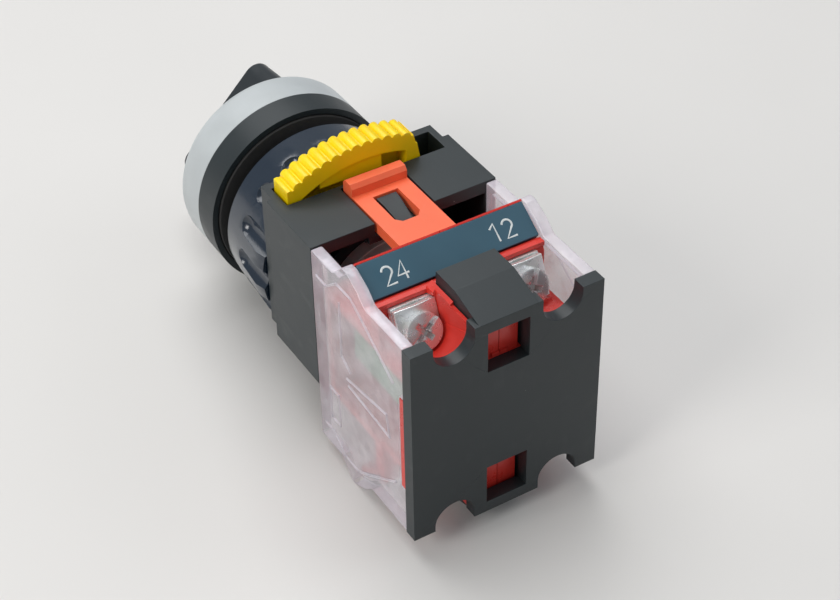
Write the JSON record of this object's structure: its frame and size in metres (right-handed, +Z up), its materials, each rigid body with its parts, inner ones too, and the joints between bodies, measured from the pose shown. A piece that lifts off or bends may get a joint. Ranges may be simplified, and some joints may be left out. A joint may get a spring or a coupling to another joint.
{
  "type": "panel selector switch",
  "caption": "Rotary selector switch for a 22 mm panel hole, with locking nut, adaptor with lock lever, and a double contact block with screw terminals.",
  "frame": {"origin": "on the operator axis, at the gasket face that seats on the front of the panel", "axes": "+Y along the operator axis, back through the panel to the rear cover; +Z up, the lock lever side; +X towards the normally open contact"},
  "size_m": [0.03, 0.082, 0.0415],
  "materials": {
    "black_plastic": "fine matt mould texture",
    "white_plastic": "smooth",
    "grey_plastic": "satin",
    "nut_plastic": "semi-gloss",
    "black_rubber": "matt",
    "yellow_plastic": "semi-gloss",
    "orange_plastic": "semi-gloss",
    "red_plastic": "gloss",
    "plunger_red": "gloss",
    "green_plastic": "gloss",
    "clear_plastic": "clear, glossy",
    "slate_plastic": "satin",
    "nickel": "bright nickel plate",
    "bright_steel": "polished",
    "spring_steel": "drawn wire",
    "contact_brass": "rolled",
    "silver": "coined"
  },
  "bodies": {
    "housing": {"bezel_ring": "grey_plastic", "operator_body": "black_plastic", "shaft_seal": "black_rubber", "panel_gasket": "black_rubber", "locking_nut": "nut_plastic", "adaptor_housing": "black_plastic", "contact_case_no": "red_plastic", "contact_case_nc": "red_plastic", "side_cover_no": "clear_plastic", "side_cover_nc": "clear_plastic", "rear_cover": "black_plastic", "number_bar_top": "slate_plastic", "number_bar_bottom": "slate_plastic", "terminals_no": "nickel", "terminals_nc": "nickel", "saddle_clamps": "nickel", "terminal_screws": "nickel", "contact_rivets": "silver", "return_spring_no": "spring_steel", "return_spring_nc": "spring_steel"},
    "knob": {"handle": "black_plastic", "pointer_insert": "white_plastic", "cam_shaft": "white_plastic", "detent_balls": "bright_steel", "detent_spring": "spring_steel"},
    "lever": {"lock_lever": "yellow_plastic"},
    "top_latch": {"latch_top": "orange_plastic"},
    "bottom_latch": {"latch_bottom": "orange_plastic"},
    "no_carrier": {"plunger_no": "green_plastic", "bridge_no": "contact_brass", "contact_spring_no": "spring_steel"},
    "nc_carrier": {"plunger_nc": "plunger_red", "bridge_nc": "contact_brass", "contact_spring_nc": "spring_steel"}
  },
  "joints": [
    {"name": "handle_turn", "type": "hinge", "parent": "housing", "child": "knob", "pos_m": [0, 0, 0], "axis": [0, 1, 0], "range_deg": [0, 90]},
    {"name": "lever_lock", "type": "hinge", "parent": "housing", "child": "lever", "pos_m": [0, 0, 0], "axis": [0, -1, 0], "range_deg": [0, 13]},
    {"name": "top_latch_lift", "type": "hinge", "parent": "housing", "child": "top_latch", "pos_m": [0, 0.0406, 0.0144], "axis": [-1, 0, 0], "range_deg": [0, 8], "stiffness_Nm_per_rad": 0.2, "springref_deg": -2.86},
    {"name": "bottom_latch_lift", "type": "hinge", "parent": "housing", "child": "bottom_latch", "pos_m": [0, 0.0406, -0.0144], "axis": [1, 0, 0], "range_deg": [0, 8], "stiffness_Nm_per_rad": 0.2, "springref_deg": -2.86},
    {"name": "no_travel", "type": "slide", "parent": "housing", "child": "no_carrier", "axis": [0, 1, 0], "range_m": [0, 0.003], "deforming": ["return_spring_no"]},
    {"name": "nc_travel", "type": "slide", "parent": "housing", "child": "nc_carrier", "axis": [0, 1, 0], "range_m": [0, 0.003], "deforming": ["return_spring_nc"]}
  ],
  "couplings": [
    {"joint": "no_travel", "follows": "handle_turn", "m_per_rad": 0.001909},
    {"joint": "nc_travel", "follows": "handle_turn", "m_per_rad": 0.001909}
  ]
}
